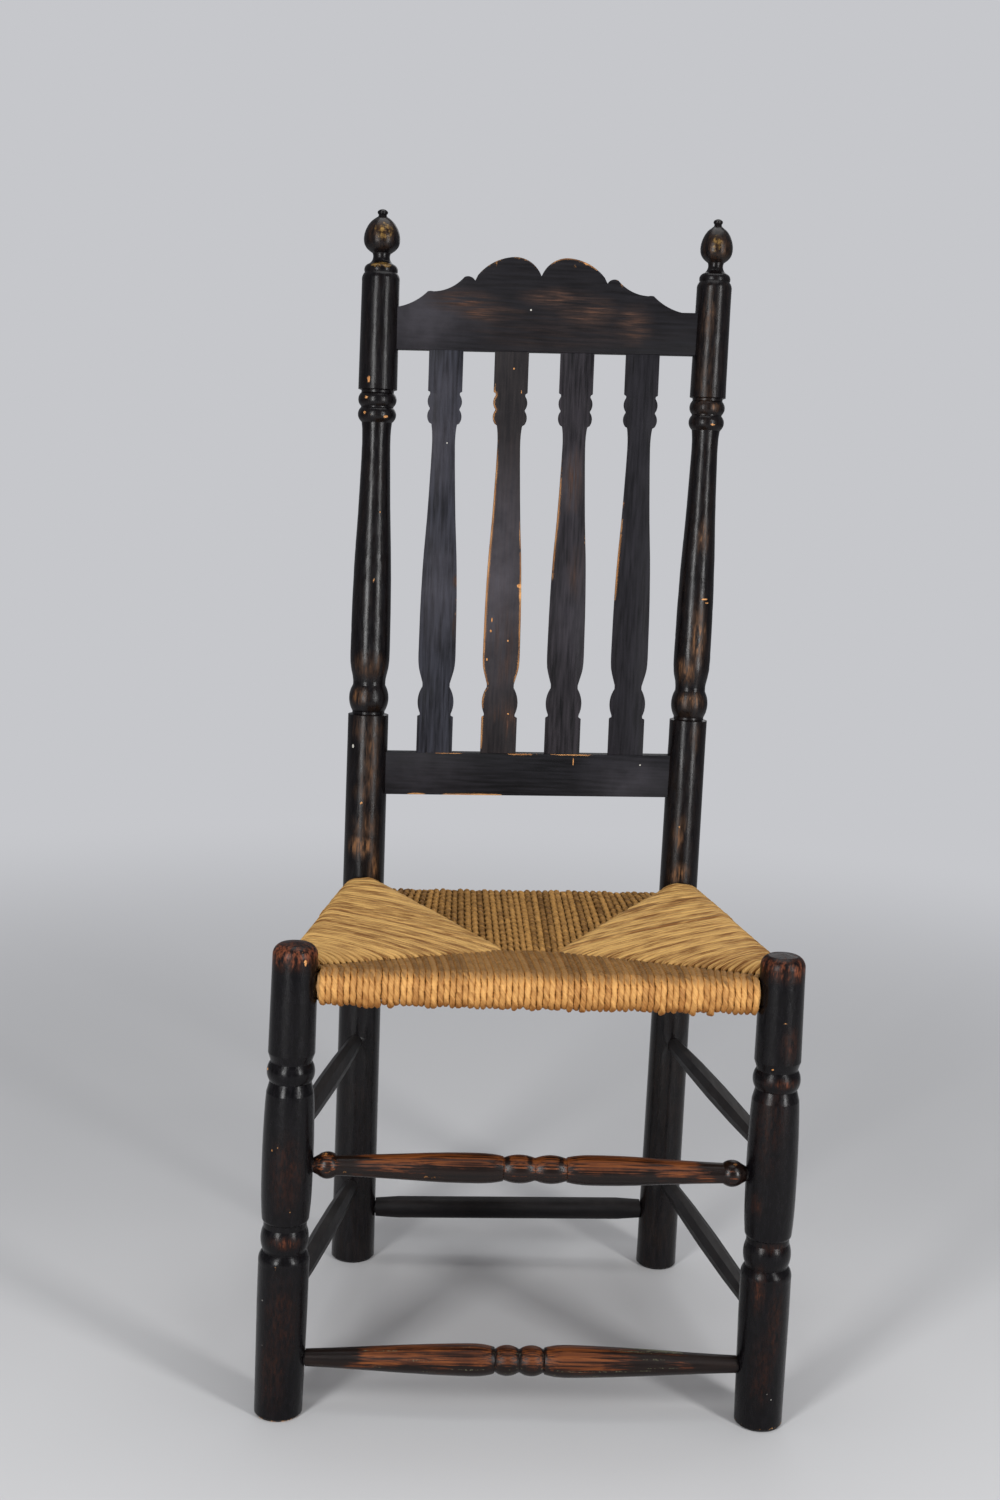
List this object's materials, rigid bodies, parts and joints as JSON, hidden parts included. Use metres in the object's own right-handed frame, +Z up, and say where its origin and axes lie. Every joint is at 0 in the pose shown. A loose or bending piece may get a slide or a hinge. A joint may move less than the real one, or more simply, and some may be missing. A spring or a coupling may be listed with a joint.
{
  "type": "banister back chair",
  "caption": "Side chair with turned posts, shaped crest, split spindle banisters, turned front stretchers and a rush seat.",
  "frame": {"origin": "on the floor, under the middle of the chair's bounding box", "axes": "+Z up, +Y to the back, +X to the right as the chair is seen from its front"},
  "size_m": [0.507, 0.4274, 1.1632],
  "materials": {
    "back_paint": "worn black paint with a soft shine",
    "turned_paint": "worn black paint over brown, glossy",
    "leg_paint": "thin black paint over reddish brown, glossy",
    "worn_rung": "reddish brown open grain, paint left in the grooves",
    "dull_paint": "dull dusty black paint",
    "rush": "twisted rush, straw coloured, matt",
    "bare_wood": "bare, out of sight under the rush",
    "stuffing": "dry loose rush, out of sight"
  },
  "bodies": {
    "root": {"banister_1": "back_paint", "banister_2": "back_paint", "banister_3": "back_paint", "banister_4": "back_paint", "crest_rail": "back_paint", "front_leg_left": "leg_paint", "front_leg_right": "leg_paint", "front_stretcher_lower": "worn_rung", "front_stretcher_upper": "worn_rung", "rear_post_left": "turned_paint", "rear_post_right": "turned_paint", "rear_stretcher": "dull_paint", "rush_front": "rush", "rush_left": "rush", "rush_rear": "rush", "rush_right": "rush", "seat_rail_front": "bare_wood", "seat_rail_left": "bare_wood", "seat_rail_rear": "bare_wood", "seat_rail_right": "bare_wood", "seat_stuffing": "stuffing", "side_stretcher_lower_left": "dull_paint", "side_stretcher_lower_right": "dull_paint", "side_stretcher_upper_left": "dull_paint", "side_stretcher_upper_right": "dull_paint", "stay_rail": "back_paint"}
  },
  "joints": []
}
